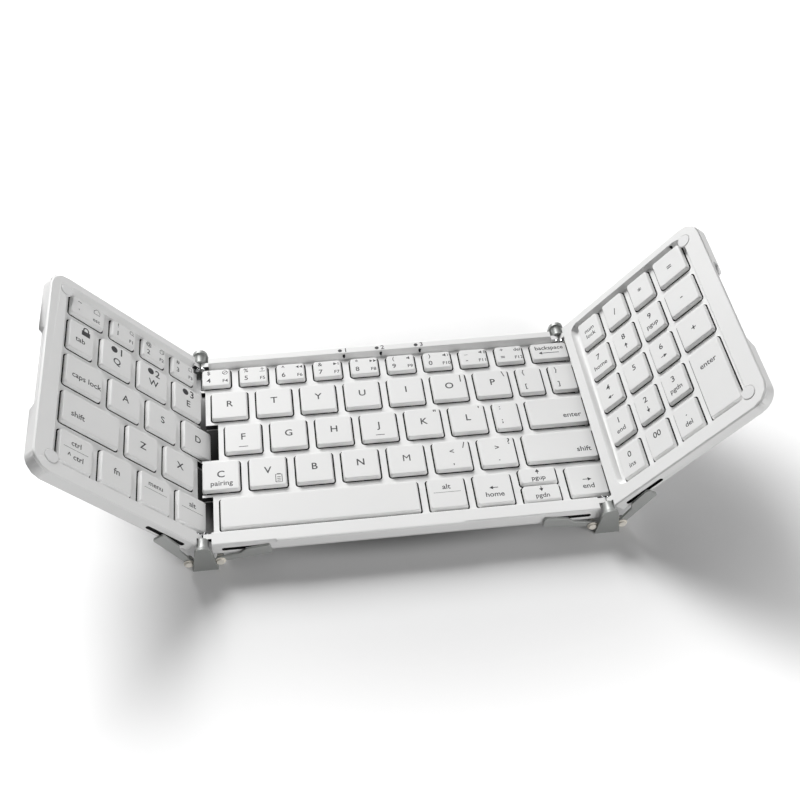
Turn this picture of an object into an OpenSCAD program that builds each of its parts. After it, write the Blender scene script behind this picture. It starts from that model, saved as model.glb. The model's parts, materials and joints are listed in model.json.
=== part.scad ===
// Three-panel folding keyboard with a number pad: a fixed centre panel and two wings.
// Each seam has a bracket in front and one behind, with one hinge pin for either panel.
// Panels are drawn flat with the key deck at z = 0, then each wing is turned to its fold.

/* [Panels] */
// Height of the raised rim above the key deck
rim_h = 2.4; // [2.2:0.1:3]
// Depth of the key wells, from the deck down to the dark tray
deck_t = 1.5; // [1.4:0.1:1.8]
// Thickness of the webs between the wells, above the dark tray
web_t = 0.8; // [0.7:0.1:1]
// Depth of the frame's walls below the deck
wall_low = 2.5; // [2.4:0.1:3.5]
// Thickness of the bottom covers
cover_t = 1.2; // [1:0.1:2]
// Width of the front rim, from the front wall to the deck
front_rim = 7; // [6.5:0.1:8]
// Width of the back rim, from the deck to the back wall
back_rim = 4.7; // [4.6:0.1:6]
// Deck behind the last row's wells
back_web = 1.08; // [0.9:0.02:2]
// Wall thickness of the frames
wall = 1.4; // [1.2:0.1:1.6]
// Corner radius of the wings
corner_r = 7; // [4:0.5:9]
// Horizontal run of the slope between rim and deck
rim_slope = 1.2; // [0.8:0.1:1.4]
// Width of the left wing's outer rim, from the wells to the outer wall
left_rim = 9.65; // [9.5:0.05:12]
// Width of the right wing's outer rim, from the wells to the outer wall
right_rim = 9.5; // [9.3:0.05:12]
// Half of the gap between two panels at a seam
seam_gap = 0.2; // [0.15:0.05:0.3]

/* [Keys] */
// Distance from one letter key to the next
pitch = 18; // [17:0.1:19]
// Distance from one key row to the next
row_pitch = 17.93; // [17.3:0.01:19]
// Depth of a key well, front to back
well_d = 15.5; // [14.5:0.1:16]
// Web between two letter keys' wells
web = 2.4; // [1.9:0.1:3.4]
// Width of the backspace key's well, beside the nine number keys
backspace_w = 16.66; // [15:0.01:18]
// Web between two number keys' wells
digit_web = 2.54; // [2:0.02:3]
// Depth of the number row's wells
digit_d = 10.5; // [9.5:0.1:12]
// Distance from one pad key to the next, sideways
pad_pitch = 13.9; // [13.2:0.1:15]
// Web between two pad rows
pad_web = 2.2; // [1.8:0.1:3]
// Width of a pad key's well
pad_w = 12; // [11:0.1:12.6]
// Gap between a key cap and its well
key_gap = 0.5; // [0.4:0.01:0.6]
// Height of the key caps above the deck
key_h = 1.9; // [1.6:0.05:2]
// How far a key travels
travel = 1.3; // [1:0.05:1.35]
// Corner radius of a key well
well_r = 1.5; // [1.2:0.1:1.8]

/* [Hinges] */
// Height of the hinge pins above the deck
pin_z = 1.5; // [1.4:0.05:1.6]
// Half of the distance between a bracket's two pins
pin_half = 1.05; // [1.02:0.01:1.1]
// Radius of the hinge pins
pin_r = 0.55; // [0.45:0.01:0.58]
// Radius of the knuckles on the frames
knuckle_r = 0.9; // [0.85:0.01:0.92]
// Height of the hinge pins above the table
stand_h = 10.8; // [10.6:0.1:12]
// Radius of a bracket's round top
arch_r = 3; // [2.8:0.1:3.2]
// Width of a bracket's foot
foot_w = 9.5; // [9:0.1:10]
// Depth of a bracket's foot, front to back
foot_d = 4.3; // [3.5:0.1:5]
// Thickness of a bracket's plate
plate_t = 1.3; // [1:0.1:1.6]
// Sideways distance from a bracket's middle to a brace's bush
bush_x = 5.8; // [5.7:0.05:6]
// Height of a brace's bush below the hinge pins
bush_drop = 7.4; // [7.35:0.05:7.6]
// Radius of the bush's head
bush_r = 2; // [1.9:0.05:2.05]
// Thickness of the braces
brace_t = 1; // [0.8:0.05:1.05]
// Length of the braces from bush to tip
brace_l = 19.5; // [16:0.5:20]
// Angle of the centre panel's braces
centre_brace_a = 8; // [6:1:10]
// Angle of the wings' braces in the shown pose
wing_brace_a = 58; // [54:1:60]

/* [Pose] */
// Fold of the left wing up from flat
left_fold = 49; // [0:1:60]
// Fold of the right wing up from flat
right_fold = 50.5; // [0:0.5:60]

/* [Hidden] */
$fn = 40;
eps = 0.01;

// Heights of the layers below the deck
sheet_t = 0.25;
support_t = 0.4;
sheet_top = -deck_t;
support_top = sheet_top - sheet_t;
dome_h = 0.35;
bottom = -wall_low - cover_t;

// Front and back edges, and the middle that every hinge part is mirrored about
row_y = [for (i = [0:4]) i * row_pitch];
y_front = -front_rim;
back_deck = row_y[4] + digit_d + back_web;
y_back = back_deck + back_rim;
y_mid = (y_front + y_back) / 2;
panel_d = y_back - y_front;

// Bracket middle at the left seam, and the left ends of the key rows on the centre panel
left_mid = -73;
c_digit = left_mid - 0.03;
c_upper = left_mid + 3.71;
c_home = left_mid + 8.63;
c_lower = left_mid - 0.5;
space_x = left_mid + 6.12;
shift_w = 29.55;
c_edge = c_lower + 7 * pitch + shift_w;

// Seam edges at the deck, the right bracket's middle and the two pins at each seam
left_seam_in = 0.4;
right_seam_in = 3.15;
left_seam = left_mid - left_seam_in;
right_seam = c_edge + seam_gap;
right_mid = right_seam - right_seam_in;
left_pin = left_mid - pin_half;
left_centre_pin = left_mid + pin_half;
right_pin = right_mid + pin_half;
right_centre_pin = right_mid - pin_half;

// Where the rims stop beside a bracket
rail_gap = 2.3;
rim_stop = rail_gap + pin_half;
rim_end_y = y_front + 6.7;

// Key rows, counted from the front
function keys(x0, step, w, n, y0, d) = [for (i = [0:n - 1]) [x0 + i * step, x0 + i * step + w, y0, y0 + d]];
function one(x0, x1, y0, d) = [[x0, x1, y0, y0 + d]];
well_w = pitch - web;
digit_pitch = (c_edge - backspace_w - c_digit) / 9;
digit_w = digit_pitch - digit_web;

centre_numbers = keys(c_digit, digit_pitch, digit_w, 9, row_y[4], digit_d);
backspace = one(c_edge - backspace_w, c_edge, row_y[4], digit_d);
centre_upper = keys(c_upper, pitch, well_w, 7, row_y[3], well_d);
bracket_w = (c_edge - web - (c_upper + 7 * pitch)) / 2;
square_brackets = keys(c_upper + 7 * pitch, bracket_w + web, bracket_w, 2, row_y[3], well_d);
centre_home = keys(c_home, pitch, well_w, 6, row_y[2], well_d);
semicolon_w = 11.3;
semicolon_x = c_home + 6 * pitch;
semicolon = one(semicolon_x, semicolon_x + semicolon_w, row_y[2], well_d);
enter = one(semicolon_x + semicolon_w + web, c_edge, row_y[2], well_d);
centre_lower = keys(c_lower, pitch, well_w, 7, row_y[1], well_d);
right_shift = one(c_lower + 7 * pitch, c_edge, row_y[1], well_d);
arrow_w = 16.05;
arrow_end = c_edge - arrow_w;
arrow_x = arrow_end - 2 * pitch - 0.2;
space_end = arrow_x - pitch - web;
space = one(space_x, space_end, row_y[0], well_d);
right_alt = one(space_end + web, space_end + web + well_w, row_y[0], well_d);
arrows = [[arrow_x, arrow_x + well_w, row_y[0], well_d], [arrow_end, c_edge, row_y[0], well_d]];
page_y = -0.6;
page_d = 8.65;
page_lap = 0.2;
page_down = one(arrow_x + pitch, arrow_x + pitch + well_w, page_y, page_d);
page_up = one(arrow_x + pitch, arrow_x + pitch + well_w, page_y + page_d - page_lap, page_d);
centre_all = concat(centre_numbers, backspace, centre_upper, square_brackets, centre_home,
    semicolon, enter, centre_lower, right_shift, space, right_alt, arrows, page_down, page_up);

// Steps of the left seam: how far the E, D and alt keys' rows reach past it
tab_e = left_seam + 1.75;
tab_d = left_seam + 6.6;
tab_alt = left_seam + 4.05;
tab_side = 0.9;

// Left wing: rows end where the centre panel's begin, one web further left
l_digit = c_digit - 3 * digit_pitch;
l_upper = c_upper - 3 * pitch;
l_home = c_home - 3 * pitch;
l_lower = c_lower - 2 * pitch;
left_shift_w = 26.5;
l_edge = l_lower - web - left_shift_w;
left_out = l_edge - left_rim;
mod_end = tab_alt - 0.65;
mod_pitch = (mod_end + web - l_edge) / 4;
left_numbers = keys(l_digit, digit_pitch, digit_w, 3, row_y[4], digit_d);
backquote = one(l_edge, l_digit - digit_web + 0.04, row_y[4], digit_d);
left_upper = keys(l_upper, pitch, well_w, 3, row_y[3], well_d);
tab_key_box = one(l_edge, l_upper - web, row_y[3], well_d);
left_home = keys(l_home, pitch, well_w, 3, row_y[2], well_d);
caps_lock = one(l_edge, l_home - web, row_y[2], well_d);
left_lower = keys(l_lower, pitch, well_w, 2, row_y[1], well_d);
left_shift = one(l_edge, l_lower - web, row_y[1], well_d);
left_modifiers = keys(l_edge, mod_pitch, mod_pitch - web, 4, row_y[0], well_d);
left_all = concat(left_numbers, backquote, left_upper, tab_key_box, left_home, caps_lock,
    left_lower, left_shift, left_modifiers);

// Right wing: a number pad of three columns of like keys and a wider fourth
pad_x = right_seam + 6.6;
pad_row = (back_deck + pad_web) / 5;
pad_d = pad_row - pad_web;
pad_wide = 15.3;
pad_last = pad_x + 3 * pad_pitch;
right_out = pad_last + pad_wide + right_rim;
pad_zero = keys(pad_x, pad_pitch, pad_w, 3, 0, pad_d);
pad_digits = [for (r = [1:3]) each keys(pad_x, pad_pitch, pad_w, 3, r * pad_row, pad_d)];
pad_top = keys(pad_x, pad_pitch, pad_w, 3, 4 * pad_row, pad_d);
pad_operators = [for (r = [2:4]) [pad_last, pad_last + pad_wide, r * pad_row, r * pad_row + pad_d]];
pad_enter = one(pad_last, pad_last + pad_wide, 0, pad_row + pad_d);
right_all = concat(pad_zero, pad_digits, pad_top, pad_operators, pad_enter);

// Hinge layers in front of the front wall, each mirrored behind the back wall
layer_gap = 0.15;
brace_y1 = y_front - layer_gap;
brace_y0 = brace_y1 - brace_t;
head_t = 0.35;
plate_y1 = brace_y0 - 0.05 - head_t;
plate_y0 = plate_y1 - plate_t;

// Bracket boss with its flare, the ears that carry the bushes, and the bushes' radii
boss_r = 2.2;
boss_flare = 0.3;
ear_r = 1.25;
ear_y0 = y_front + 0.35;
ear_y1 = ear_y0 + 1.05;
collar_r = 1.7;
button_r = 1.45;
button_t = 0.7;
bush_clear = 0.1;

// Depths along the pins: boss, knuckles of the panels, and the pins' heads behind them
boss_end = y_front + 2.7;
knuckle_y0 = y_front + 2.9;
knuckle_y1 = y_front + 5.1;
lug_lap = 0.1;
pin_head_y = y_front + 6;
pin_head_t = 0.8;

// Running clearance, press fit and the stud in a bush
running = 0.07;
press = 0.01;
stud_r = 0.7;
sleeve_r = 1.15;
foot_t = 1;

// Groove in the front and back walls for the braces' outer ends
slot_z = -0.8;
slot_h = 1.7;
slot_in = bush_x + 1.8;
slot_out = bush_x + brace_l - 1.8;
slot_d = 0.8;

// Where the part stands: the middle of its box in plan, with its feet on the table
cover_in = 0.85;
pin_rise = pin_z - bottom;
left_reach = left_pin - (left_pin - left_out - cover_in) * cos(left_fold) - pin_rise * sin(left_fold);
right_reach = right_pin + (right_out - right_pin - cover_in) * cos(right_fold) + pin_rise * sin(right_fold);
x_mid = (left_reach + right_reach) / 2;

white = "#f1f1f0";
key_white = "#f4f4f3";
shade = "#d9dad9";
metal = "#8d9190";
bright = "#d4d7da";
nylon = "#e6e1d8";
dark = "#3a3c3e";
silver = "#b9bcbf";
green = "#3f6b50";

module stand() translate([-x_mid, -y_mid, stand_h - pin_z]) children();
module fold_left() stand() translate([left_pin, 0, pin_z]) rotate([0, left_fold, 0])
    translate([-left_pin, 0, -pin_z]) children();
module fold_right() stand() translate([right_pin, 0, pin_z]) rotate([0, -right_fold, 0])
    translate([-right_pin, 0, -pin_z]) children();
module both_ends() { children(); translate([0, 2 * y_mid, 0]) mirror([0, 1, 0]) children(); }
module along_y(y0, y1, r) translate([0, y1, 0]) rotate([90, 0, 0]) cylinder(r = r, h = y1 - y0);

// Rounded rectangle from two corners, with exact arcs
module round_box(x0, y0, x1, y1, r) {
    translate([x0 + r, y0]) square([x1 - x0 - 2 * r, y1 - y0]);
    translate([x0, y0 + r]) square([x1 - x0, y1 - y0 - 2 * r]);
    for (x = [x0 + r, x1 - r], y = [y0 + r, y1 - r]) translate([x, y]) circle(r);
}
module slab(z0, z1) translate([0, 0, z0]) linear_extrude(z1 - z0) children();

// Rounded rectangle that draws in by dx and dy on each side as it rises from z0 to z1
module taper_box(x0, y0, x1, y1, r, z0, z1, dx, dy, dy_shift = 0) {
    w = x1 - x0;
    d = y1 - y0;
    pull = dy == 0 ? 0 : dy_shift * d / (2 * dy);
    translate([(x0 + x1) / 2, (y0 + y1) / 2 + pull, z0])
        linear_extrude(z1 - z0, slices = 1, scale = [(w - 2 * dx) / w, (d - 2 * dy) / d])
            translate([0, -pull]) round_box(-w / 2, -d / 2, w / 2, d / 2, r, $fn = 12);
}

// Key caps: a straight skirt, sides that lean in, more so in front, and a hollow with its plunger
cap_low = -0.05;
skirt_h = 0.45;
side_in = 0.45;
front_in = 0.25;
cap_wall = 0.7;
nip = 0.04;
roof = key_h - 0.7;
module cap(k) {
    x0 = k[0] + key_gap;
    x1 = k[1] - key_gap;
    y0 = k[2] + key_gap;
    y1 = k[3] - key_gap;
    r = well_r - key_gap;
    plunger_r = 1.6;
    plunger_low = dome_h - deck_t + travel + 0.05;
    difference() {
        union() {
            slab(cap_low, cap_low + skirt_h) round_box(x0, y0, x1, y1, r);
            taper_box(x0 + nip, y0 + nip, x1 - nip, y1 - nip, r, cap_low + skirt_h - 0.05, key_h,
                side_in, side_in + front_in, front_in);
        }
        slab(cap_low - eps, roof) round_box(x0 + cap_wall, y0 + cap_wall + front_in,
            x1 - cap_wall, y1 - cap_wall, r / 2);
    }
    translate([(x0 + x1) / 2, (y0 + y1) / 2, plunger_low])
        cylinder(r = plunger_r, h = roof - plunger_low + eps);
}
module caps(list) color(key_white) for (k = list) cap(k);

// Wells open sideways where a key stands flush with the panel's edge
module wells(list, low_edge, high_edge) {
    over = 3;
    for (k = list) {
        x0 = k[0] < low_edge + 0.9 ? min(k[0], low_edge) - over : k[0];
        x1 = k[1] > high_edge - 0.9 ? max(k[1], high_edge) + over : k[1];
        slab(-wall_low, rim_h) round_box(x0, k[2], x1, k[3], well_r);
    }
}

// Dark tray: a sheet with a low dome under each key and ribs under the webs between the wells
rib_gap = 0.2;
module dome_sheet(list, low_edge, high_edge) {
    slab(support_top, sheet_top) children();
    difference() {
        slab(sheet_top - eps, -web_t) intersection() {
            children();
            translate([left_out, rib_gap]) square([right_out - left_out, back_deck - 2 * rib_gap]);
        }
        wells(list, low_edge, high_edge);
    }
    for (k = list) translate([(k[0] + k[1]) / 2, (k[2] + k[3]) / 2, sheet_top - eps])
        cylinder(r1 = 3, r2 = 2, h = dome_h + eps);
}
module support_plate() slab(support_top - support_t, support_top) children();

// Section of a rim along X: slope up from the deck, flat top, eased edge and straight wall
module rim_section(deck_y, wall_y) {
    s = sign(wall_y - deck_y);
    ease = 0.55;
    inner_y = wall_y - s * wall;
    polygon([[deck_y, 0], [deck_y + s * rim_slope, rim_h - 0.15], [deck_y + s * (rim_slope + 0.25), rim_h],
        [wall_y - s * ease, rim_h], [wall_y - s * 0.15, rim_h - 0.18], [wall_y, rim_h - ease],
        [wall_y, -wall_low], [inner_y, -wall_low], [inner_y, -deck_t], [deck_y, -deck_t]]);
}
module rim_bar(x0, x1, deck_y, wall_y) translate([x0, 0, 0]) rotate([90, 0, 90])
    linear_extrude(x1 - x0) rim_section(deck_y, wall_y);

// Outline of the centre panel: straight on the right, stepped on the left for the wing's tabs
module centre_plan(inset = 0) {
    y0 = y_front + inset;
    y1 = y_back - inset;
    x0 = left_seam + 2 * seam_gap + inset;
    x1 = c_edge - inset;
    difference() {
        translate([x0, y0]) square([x1 - x0, y1 - y0]);
        left_tabs_plan(2 * seam_gap + inset);
        notch_d = rim_end_y - y0 + 1 + inset;
        for (s = [0, 1]) translate([0, s * 2 * y_mid]) mirror([0, s]) {
            translate([x0 - 1, y0 - 1]) square([left_mid + rim_stop - x0 + 1 + inset, notch_d]);
            translate([right_mid - rim_stop - inset, y0 - 1])
                square([x1 + 1 - right_mid + rim_stop + inset, notch_d]);
        }
    }
}

// The left wing's tabs past the seam, under the E, D and alt keys
module left_tabs_plan(grow = 0) {
    for (t = [[tab_e, row_y[3], well_d], [tab_d, row_y[2], well_d], [tab_alt, row_y[0] + 1, well_d - 1]])
        translate([left_seam - 4, t[1] - tab_side - grow])
            square([t[0] - left_seam + 4 + grow, t[2] + 2 * tab_side + 2 * grow]);
}

// Inside of the tabs, drawn in from their edges
module left_tab_hollow(inset) intersection() {
    offset(delta = -inset) left_tabs_plan();
    translate([left_seam - wall - inset, y_front]) square([20, panel_d]);
}

// Knuckle on a panel's rim, with the lug that joins it to the rim's end
module knuckle(pin, rim_x) translate([0, 0, pin_z]) {
    translate([pin, 0, 0]) along_y(knuckle_y0, knuckle_y1, knuckle_r);
    translate([min(pin, rim_x) - lug_lap, knuckle_y0, -knuckle_r])
        cube([abs(rim_x - pin) + 2 * lug_lap, knuckle_y1 - knuckle_y0, 2 * knuckle_r]);
}
module knuckle_bore(pin) translate([pin, 0, pin_z]) along_y(knuckle_y0 - 1, knuckle_y1 + 1, pin_r + running);

// Groove in a front wall for the brace's outer end
module brace_slot(mid, side) {
    x0 = mid + side * slot_in;
    x1 = mid + side * slot_out;
    r = slot_h / 2;
    for (x = [x0, x1]) translate([x, 0, slot_z]) along_y(y_front - 1, y_front + slot_d, r);
    translate([min(x0, x1), y_front - 1, slot_z - r]) cube([abs(x1 - x0), 1 + slot_d, slot_h]);
}

// Shallow brow along the middle of the front rim, proud of the front wall
brow_x0 = left_mid + bush_x + brace_l + 1.7;
brow_x1 = brow_x0 + 70;
brow_out = 0.5;
brow_z = 1.1;
module brow() translate([brow_x0, 0, 0]) rotate([90, 0, 90]) linear_extrude(brow_x1 - brow_x0)
    polygon([[y_front + 1, brow_z - 0.3], [y_front, brow_z - 0.3], [y_front - brow_out, brow_z],
        [y_front - brow_out, rim_h - 0.5], [y_front - brow_out + 0.15, rim_h - 0.15],
        [y_front - brow_out + 0.5, rim_h], [y_front + 1, rim_h]]);

light_x = [-13, 2.6, 19.2];
light_y = back_deck + rim_slope * 0.62;
light_r = 0.55;
socket_y = y_back - 29;
socket_w = 8.94;
socket_h = 3.2;
socket_d = 6;
socket_in = 1.45;
board_t = 0.6;
socket_low = board_t - wall_low;
screw_r = 0.9;

module centre_frame() stand() color(white) {
    rail_x0 = left_mid + rim_stop;
    rail_x1 = right_mid - rim_stop;
    difference() {
        union() {
            slab(-web_t, 0) centre_plan();
            slab(-wall_low, -web_t + eps) difference() { centre_plan(); centre_plan(wall); }
            rim_bar(rail_x0, rail_x1, 0, y_front);
            rim_bar(rail_x0, rail_x1, back_deck, y_back);
            brow();
            both_ends() {
                knuckle(left_centre_pin, rail_x0);
                knuckle(right_centre_pin, rail_x1);
            }
        }
        wells(centre_all, left_seam, c_edge);
        both_ends() {
            knuckle_bore(left_centre_pin);
            knuckle_bore(right_centre_pin);
            brace_slot(left_mid, 1);
            brace_slot(right_mid, -1);
        }
        for (x = light_x) translate([x, light_y, -deck_t - 1]) cylinder(r = light_r + press, h = 5);
    }
}

screw_front = 3.6;
screw_back = 3.2;
screw_left = 13;
screw_mid = 73;
screw_right = 19.1;
screw_x = [left_mid + screw_left, left_mid + screw_mid, right_mid - screw_right];
screw_y = [y_front + screw_front, y_back - screw_back];
module centre_cover_screws_at() for (x = screw_x, y = screw_y) translate([x, y, 0]) children();
module screw() {
    translate([0, 0, bottom + 0.15]) cylinder(r = 1.6, h = 0.6);
    translate([0, 0, bottom + 0.7]) cylinder(r = screw_r, h = -bottom - 0.7 - deck_t);
}
module screw_hole() {
    translate([0, 0, bottom - 1]) cylinder(r = 1.7, h = 1.75);
    translate([0, 0, bottom]) cylinder(r = screw_r + 0.05, h = cover_t + 1);
}

module screw_seat() translate([0, 0, -wall_low - 1])
    cylinder(r = screw_r + press, h = wall_low - deck_t + 1.1);

module centre_bottom_cover() stand() color(shade) {
    lip = 0.5;
    difference() {
        union() {
            slab(bottom + lip, -wall_low) centre_plan();
            slab(bottom, bottom + lip + eps) centre_plan(lip);
        }
        centre_cover_screws_at() screw_hole();
    }
}
inner_front = 4.2;
module centre_inner_plan() difference() {
    centre_plan(wall + 0.2);
    translate([left_out, y_front]) square([right_out - left_out, wall + inner_front]);
    translate([left_out, back_deck]) square([right_out - left_out, 2 * back_rim]);
}
module centre_support_plate() stand() color(silver) support_plate() centre_inner_plan();
module centre_dome_sheet() stand() color(dark) dome_sheet(centre_all, left_seam, c_edge) centre_inner_plan();
module centre_cover_screws() stand() color(metal) centre_cover_screws_at() screw();

module centre_status_lights() stand() color(dark)
    for (x = light_x) translate([x, light_y, -deck_t]) cylinder(r = light_r, h = deck_t + 1.55);

// Wing frame outline at the hinge side is square; rims stop short of the bracket
module wing_notches(side, pin, seam) {
    x = pin + side * rail_gap;
    far = 20;
    for (s = [0, 1]) translate([0, s * 2 * y_mid, 0]) mirror([0, s, 0])
        translate([side < 0 ? x : x - far, y_front - 1, bottom - 1])
            cube([far, rim_end_y - y_front + 1, 20]);
    translate([side < 0 ? seam : seam - far, rim_end_y - eps, bottom - 1])
        cube([far, 2 * (y_mid - rim_end_y) + 2 * eps, 20]);
}

// Finger scoop along the middle of a wing's outer side, leaning in towards the bottom
scoop_y0 = y_front + 27;
scoop_y1 = y_back - 29;
scoop_in = 2.3;
module scoop(out, side) {
    top_z = 1.3;
    ramp = 4;
    translate([out, 0, 0]) mirror([side > 0 ? 1 : 0, 0, 0]) hull() {
        translate([-1, scoop_y0, bottom - 1]) cube([1 + scoop_in, scoop_y1 - scoop_y0, 1]);
        translate([-1, scoop_y0 - ramp / 2, bottom - 1]) cube([eps, scoop_y1 - scoop_y0 + ramp, 1]);
        translate([-1, scoop_y0 + ramp / 2, top_z]) cube([1 - 0.1, scoop_y1 - scoop_y0 - ramp, 0.1]);
    }
}

module wing_shell(out, side, seam, inner_rim) {
    x0 = min(out, seam + (side < 0 ? 12 : -12));
    x1 = max(out, seam + (side < 0 ? 12 : -12));
    ease = 0.55;
    deck_out = out - side * 8.6;
    deck_in = inner_rim > 0 ? seam + inner_rim : seam - side * 30;
    d0 = min(deck_in, deck_out);
    d1 = max(deck_in, deck_out);
    difference() {
        union() {
            slab(-wall_low, rim_h - ease) round_box(x0, y_front, x1, y_back, corner_r);
            taper_box(x0, y_front, x1, y_back, corner_r, rim_h - ease, rim_h, ease * 0.8, ease * 0.8);
        }
        translate([0, 0, rim_h + eps]) mirror([0, 0, 1]) taper_box(d0 - rim_slope, -rim_slope,
            d1 + rim_slope, back_deck + rim_slope, 4, 0, rim_h + eps, rim_slope, rim_slope);
    }
}

// Hollow under the deck, with the deeper pocket under the outer rim
module wing_hollow(out, side, seam) {
    xa = seam + side * wall;
    xb = out - side * (3.6 + wall);
    slab(-wall_low - 1, -web_t) round_box(min(xa, xb), 0.4 + eps, max(xa, xb), back_deck - 0.3, 1);
}

pocket_w = 3.4;
pocket_x = 7.2;
pocket_y0 = y_front + 13;
pocket_y1 = y_back - 12;
module rim_pocket(out, side) {
    x = out - side * pocket_x;
    translate([min(x, x + side * pocket_w), pocket_y0, -wall_low - 1])
        cube([pocket_w, pocket_y1 - pocket_y0, wall_low + 1 + rim_h - 1]);
}

wing_screw_x = [18, 50];
module wing_screws_at(out, side)
    for (x = wing_screw_x, y = screw_y) translate([out - side * x, y, 0]) children();

bumper_r = 2.9;
bumper_in = 7;
bumper_h = 0.2;
module bumpers_at(out, side) for (y = [y_front + bumper_in, y_back - bumper_in])
    translate([out - side * ((side < 0 ? left_rim : right_rim) - 2.4), y, 0]) children();
module bumpers(out, side) bumpers_at(out, side) {
    translate([0, 0, rim_h - 0.8]) cylinder(r = bumper_r - 0.3, h = 0.8 + bumper_h);
}
module bumper_holes(out, side) bumpers_at(out, side) {
    translate([0, 0, rim_h - 0.8]) cylinder(r = bumper_r - 0.3 + press, h = 2);
    translate([0, 0, rim_h - 0.3]) cylinder(r = bumper_r, h = 2);
}

module left_frame() fold_left() color(white) {
    difference() {
        union() {
            difference() {
                wing_shell(left_out, -1, left_seam, 0);
                wing_notches(-1, left_pin, left_seam);
            }
            slab(-wall_low, 0) intersection() {
                left_tabs_plan();
                translate([left_seam - eps, 0]) square([20, 100]);
            }
            both_ends() knuckle(left_pin, left_pin - rail_gap);
        }
        wing_hollow(left_out, -1, left_seam);
        slab(-wall_low - 1, -web_t) left_tab_hollow(wall);
        wing_screws_at(left_out, -1) screw_seat();
        rim_pocket(left_out, -1);
        wells(left_all, left_out, left_seam);
        both_ends() {
            knuckle_bore(left_pin);
            brace_slot(left_mid, -1);
        }
        bumper_holes(left_out, -1);
        scoop(left_out, -1);
    }
}

module wing_cover(out, side, pin, seam) {
    x0 = min(out, seam + (side < 0 ? 12 : -12));
    x1 = max(out, seam + (side < 0 ? 12 : -12));
    difference() {
        mirror([0, 0, 1])
            taper_box(x0, y_front, x1, y_back, corner_r, wall_low, -bottom, cover_in, cover_in);
        wing_notches(side, pin, seam);
        scoop(out, side);
        wing_screws_at(out, side) screw_hole();
    }
}
module left_bottom_cover() fold_left() color(shade) {
    wing_cover(left_out, -1, left_pin, left_seam);
    slab(bottom + 0.4, -wall_low) intersection() {
        left_tabs_plan();
        translate([left_seam - eps, 0]) square([20, 100]);
    }
}
module left_inner_plan() {
    gap = 0.2;
    x0 = left_out + pocket_x + 0.4;
    translate([x0 + gap, 0.4 + gap]) square([left_seam - wall - x0 - 2 * gap, back_deck - 0.7 - 2 * gap]);
    left_tab_hollow(wall + gap);
}
module left_support_plate() fold_left() color(silver) support_plate() left_inner_plan();
module left_dome_sheet() fold_left() color(dark) dome_sheet(left_all, left_out, left_seam) left_inner_plan();
module left_corner_bumpers() fold_left() color(shade) bumpers(left_out, -1);
module left_cover_screws() fold_left() color(metal) wing_screws_at(left_out, -1) screw();
module battery_cell() fold_left() color(silver) {
    cell_h = 3;
    translate([left_out + pocket_x - pocket_w + 0.1, pocket_y0 + 0.3, 0.15 - wall_low])
        cube([pocket_w - 0.2, pocket_y1 - pocket_y0 - 0.6, cell_h]);
}

// Outline of the socket's shell, drawn in by inset, along +X at the height it sits
module socket_face(x0, x1, inset = 0) translate([x0, socket_y, socket_low + socket_h / 2])
    rotate([90, 0, 90]) linear_extrude(x1 - x0) round_box(-socket_w / 2 + inset, -socket_h / 2 + inset,
        socket_w / 2 - inset, socket_h / 2 - inset, socket_h / 2 - inset - 0.05);

pad_light_in = 13.35;
module right_frame() fold_right() color(white) {
    difference() {
        union() {
            difference() {
                wing_shell(right_out, 1, right_seam, 5.2);
                wing_notches(1, right_pin, right_seam);
            }
            both_ends() knuckle(right_pin, right_pin + rail_gap);
        }
        wing_hollow(right_out, 1, right_seam);
        rim_pocket(right_out, 1);
        wing_screws_at(right_out, 1) screw_seat();
        wells(right_all, right_seam, right_out);
        both_ends() {
            knuckle_bore(right_pin);
            brace_slot(right_mid, 1);
        }
        bumper_holes(right_out, 1);
        scoop(right_out, 1);
        translate([right_out - pad_light_in, light_y, -deck_t - eps]) cylinder(r = light_r + press, h = 5);
        socket_face(right_out - socket_in - socket_d - 0.1, right_out + 1, -0.05);
    }
}
module right_bottom_cover() fold_right() color(shade) wing_cover(right_out, 1, right_pin, right_seam);
module right_inner_plan() {
    gap = 0.2;
    x0 = right_seam + wall;
    translate([x0 + gap, 0.4 + gap])
        square([right_out - pocket_x - 0.4 - x0 - 2 * gap, back_deck - 0.7 - 2 * gap]);
}
module right_support_plate() fold_right() color(silver) support_plate() right_inner_plan();
module right_dome_sheet() fold_right() color(dark)
    dome_sheet(right_all, right_seam, right_out) right_inner_plan();
module right_corner_bumpers() fold_right() color(shade) bumpers(right_out, 1);
module right_cover_screws() fold_right() color(metal) wing_screws_at(right_out, 1) screw();
module right_status_light() fold_right() color(dark) translate([right_out - pad_light_in, light_y, -deck_t])
    cylinder(r = light_r, h = deck_t + 1.55);

// Board under the outer rim with its chips, and the drawn shell of the charging socket on it
module circuit_board() fold_right() color(green) {
    x = right_out - pocket_x + 0.1;
    board_w = pocket_w - 0.2;
    translate([x, pocket_y0 + 0.3, -wall_low]) cube([board_w, pocket_y1 - pocket_y0 - 0.6, board_t]);
    for (y = [12, 20, 28, 36, socket_y - 13]) translate([x + 0.5, y, board_t - wall_low - eps])
        cube([board_w - 1, 4, 0.8]);
}
module charging_socket() fold_right() color(silver) {
    x1 = right_out - socket_in;
    tongue = [socket_w - 3, 0.7];
    difference() {
        socket_face(x1 - socket_d, x1);
        socket_face(x1 - socket_d + 0.6, x1 + 1, 0.3);
    }
    translate([x1 - socket_d + 0.5, socket_y - tongue[0] / 2, socket_low + (socket_h - tongue[1]) / 2])
        cube([socket_d - 1.5, tongue[0], tongue[1]]);
}

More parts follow.
